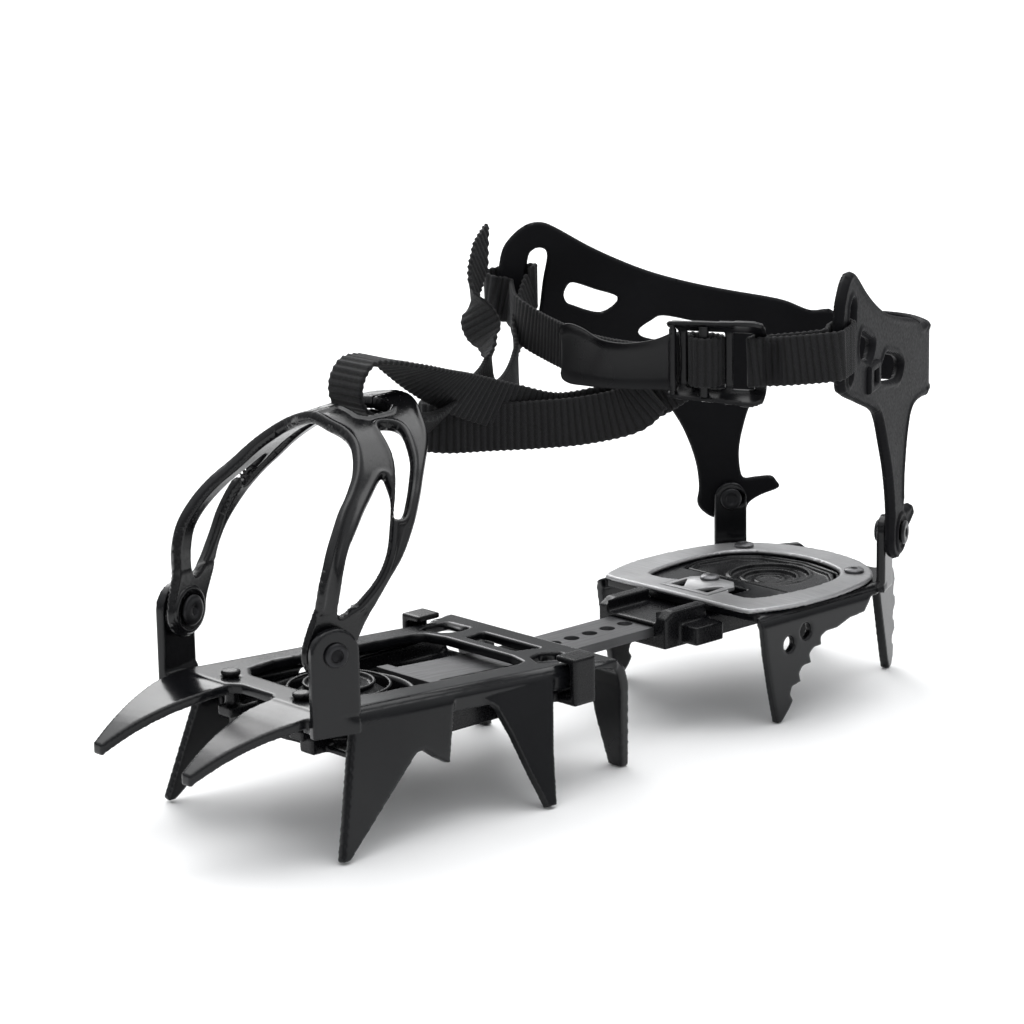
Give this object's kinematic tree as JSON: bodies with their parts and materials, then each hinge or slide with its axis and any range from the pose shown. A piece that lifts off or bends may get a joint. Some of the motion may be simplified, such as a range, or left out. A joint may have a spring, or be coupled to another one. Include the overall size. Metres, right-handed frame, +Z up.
{
  "type": "crampon",
  "caption": "Strap-on mountaineering crampon with a toe cage, length-adjusting bar, spiked front and heel sections, heel harness and buckled webbing strap.",
  "frame": {"origin": "centre of the bounding box in plan, on the plane of the point tips", "axes": "+Y from the toe to the heel, +X to the wearer's left (buckle side), +Z up"},
  "size_m": [0.1675, 0.3218, 0.1547],
  "materials": {
    "black_steel": "satin powder coat",
    "grey_steel": "satin",
    "light_steel": "satin",
    "bright_steel": "plated",
    "buckle_steel": "satin black",
    "black_plastic": "moulded",
    "cage_rubber": "semi-gloss thermoplastic rubber",
    "harness_rubber": "matte thermoplastic rubber",
    "rubber_washer": "matte",
    "webbing": "woven",
    "thread": "bar-tack stitching"
  },
  "bodies": {
    "front_section": {"front_frame": "black_steel", "front_antiball": "black_plastic", "extension_bar": "grey_steel", "toe_rivet_left": "bright_steel", "toe_rivet_right": "bright_steel", "toe_washer_left": "rubber_washer", "toe_washer_right": "rubber_washer"},
    "toe_cage_body": {"toe_cage": "cage_rubber"},
    "heel_section": {"heel_frame": "black_steel", "heel_plate": "light_steel", "heel_antiball": "black_plastic", "heel_screw_left": "bright_steel", "heel_screw_right": "bright_steel", "adjuster_housing": "black_plastic", "heel_rivet_left": "bright_steel", "heel_rivet_right": "bright_steel", "heel_washer_left": "rubber_washer", "heel_washer_right": "rubber_washer"},
    "lock": {"lock_tongue": "light_steel", "lock_pin": "bright_steel"},
    "harness": {"heel_harness": "harness_rubber", "ankle_strap": "webbing"},
    "buckle": {"buckle_frame": "buckle_steel", "buckle_bar": "buckle_steel", "buckle_strap": "webbing", "strap_stitching": "thread"},
    "buckle_lever": {"buckle_tab": "buckle_steel"}
  },
  "joints": [
    {"name": "length_adjust", "type": "slide", "parent": "front_section", "child": "heel_section", "axis": [0, 1, 0], "range_m": [-0.0234, 0.0312]},
    {"name": "toe_cage_pivot", "type": "hinge", "parent": "front_section", "child": "toe_cage_body", "pos_m": [0.006, -0.119, 0.0603], "axis": [1, 0, 0], "range_deg": [-22, 18]},
    {"name": "harness_pivot", "type": "hinge", "parent": "heel_section", "child": "harness", "pos_m": [0.006, 0.1168, 0.0528], "axis": [1, 0, 0], "range_deg": [-8, 8], "deforming": ["ankle_strap"]},
    {"name": "lock_press", "type": "slide", "parent": "heel_section", "child": "lock", "axis": [0, 0, 1], "range_m": [-0.002, 0]},
    {"name": "buckle_swing", "type": "hinge", "parent": "harness", "child": "buckle", "pos_m": [0.07685, 0.05309, 0.1266], "axis": [0, 0, 1], "range_deg": [-15, 40], "deforming": ["buckle_strap"]},
    {"name": "buckle_lever_tilt", "type": "hinge", "parent": "buckle", "child": "buckle_lever", "pos_m": [0.03842, 0.02027, 0.1232], "axis": [0, 0, 1], "range_deg": [0, 35]}
  ]
}
